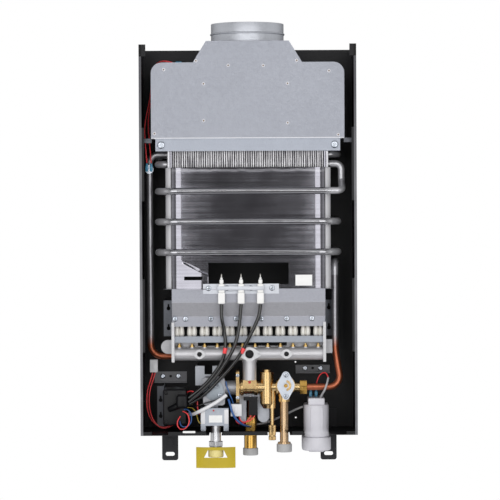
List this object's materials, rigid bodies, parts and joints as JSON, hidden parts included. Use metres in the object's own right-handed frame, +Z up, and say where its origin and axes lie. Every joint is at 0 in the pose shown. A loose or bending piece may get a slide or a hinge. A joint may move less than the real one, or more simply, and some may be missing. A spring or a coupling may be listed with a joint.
{
  "type": "tankless gas water heater",
  "caption": "Wall-hung instantaneous gas water heater with its front cover off: flue hood, finned coil heat exchanger, burner, gas and water valves, battery box.",
  "frame": {"origin": "on the wall plane, midway between the two lower wall-screw slots", "axes": "+X to the right as seen from the front, +Y into the wall, +Z up"},
  "size_m": [0.35, 0.15, 0.723],
  "materials": {
    "black_sheet": "satin black powder coat",
    "galvanised": "spangled zinc coat",
    "zinc": "bright zinc plate",
    "tinned": "tinned copper, half gloss",
    "tinned_copper": "copper, tinned on its upper part",
    "stainless": "plain stainless",
    "cast_aluminium": "as cast",
    "brass": "pale satin brass",
    "white_ceramic": "unglazed white",
    "black_rubber": "gloss black silicone",
    "yellow_plastic": "moulded",
    "yellow_card": "coated card",
    "grey_plastic": "moulded",
    "black_plastic": "moulded",
    "white_plastic": "moulded",
    "blue_plastic": "soft sleeve",
    "wire_jacket": "coloured jackets"
  },
  "bodies": {
    "heater": {"chassis_tray": "black_sheet", "bottom_plate": "black_sheet", "wall_brackets": "black_sheet", "flue_hood_shell": "galvanised", "flue_hood_front": "galvanised", "flue_collar": "galvanised", "draft_baffle": "galvanised", "hood_skirt": "galvanised", "fasteners": "zinc", "heat_exchanger_shell": "tinned", "heat_exchanger_fins": "tinned", "fin_tubes": "tinned", "heating_coil": "tinned", "cold_riser": "tinned_copper", "hot_downpipe": "tinned_copper", "limit_thermostat": "zinc", "burner_box": "galvanised", "burner_front_plate": "galvanised", "burner_bars": "stainless", "burner_lower_rail": "galvanised", "burner_strap": "black_sheet", "burner_brackets": "galvanised", "gas_manifold": "cast_aluminium", "gas_nozzles": "brass", "gas_feed_tube": "cast_aluminium", "electrode_plate": "zinc", "electrode_ceramics": "white_ceramic", "electrode_pins": "stainless", "ignition_leads": "black_rubber", "gas_valve_body": "cast_aluminium", "gas_valve_cover": "cast_aluminium", "solenoid_case": "zinc", "gas_inlet_pipe": "zinc", "valve_mount": "galvanised", "valve_flange": "brass", "water_valve_body": "brass", "flow_plate": "zinc", "union_nut": "brass", "cold_inlet_pipe": "brass", "hot_outlet": "brass", "switch_hanger": "galvanised", "microswitch": "black_plastic", "control_box": "black_plastic", "panel_brackets": "black_sheet", "battery_housing": "white_plastic", "battery_cells": "zinc", "blue_terminals": "blue_plastic", "wire_connectors": "white_plastic", "harness_wires": "wire_jacket"},
    "gas_spindle": {"gas_spindle": "brass"},
    "solenoid_plunger": {"solenoid_plunger": "stainless"},
    "gas_cap": {"gas_cap": "yellow_plastic", "gas_tag": "yellow_card"},
    "push_rod": {"valve_push_rod": "stainless"},
    "flow_spindle": {"flow_spindle": "brass"},
    "cold_cap": {"cold_cap": "grey_plastic"},
    "hot_cap": {"hot_cap": "grey_plastic"},
    "drain_valve": {"drain_valve": "brass"},
    "switch_button": {"microswitch_plunger": "white_plastic"},
    "battery_cover": {"battery_cover": "white_plastic"}
  },
  "joints": [
    {"name": "gas_spindle_turn", "type": "hinge", "parent": "heater", "child": "gas_spindle", "pos_m": [-0.0525, -0.118, 0.123], "axis": [0, -1, 0], "range_deg": [0, 270]},
    {"name": "flow_spindle_turn", "type": "hinge", "parent": "heater", "child": "flow_spindle", "pos_m": [0.0598, -0.1205, 0.1218], "axis": [0, -1, 0], "range_deg": [0, 180]},
    {"name": "drain_turn", "type": "hinge", "parent": "heater", "child": "drain_valve", "pos_m": [0.0375, -0.104, 0.084], "axis": [0, 0, 1], "range_deg": [0, 360]},
    {"name": "push_rod_slide", "type": "slide", "parent": "heater", "child": "push_rod", "axis": [-1, 0, 0], "range_m": [0, 0.005], "stiffness_N_per_m": 300},
    {"name": "switch_button_slide", "type": "slide", "parent": "heater", "child": "switch_button", "axis": [0, 0, -1], "range_m": [0, 0.0013]},
    {"name": "solenoid_slide", "type": "slide", "parent": "heater", "child": "solenoid_plunger", "axis": [0, 0, 1], "range_m": [0, 0.004], "stiffness_N_per_m": 150},
    {"name": "gas_cap_pull", "type": "slide", "parent": "heater", "child": "gas_cap", "axis": [0, 0, -1], "range_m": [0, 0.03]},
    {"name": "cold_cap_pull", "type": "slide", "parent": "heater", "child": "cold_cap", "axis": [0, 0, -1], "range_m": [0, 0.03]},
    {"name": "hot_cap_pull", "type": "slide", "parent": "heater", "child": "hot_cap", "axis": [0, 0, -1], "range_m": [0, 0.03]},
    {"name": "battery_cover_pull", "type": "slide", "parent": "heater", "child": "battery_cover", "axis": [0, 0, -1], "range_m": [0, 0.05]}
  ],
  "couplings": [
    {"joint": "switch_button_slide", "follows": "push_rod_slide", "ratio": 0.25}
  ]
}
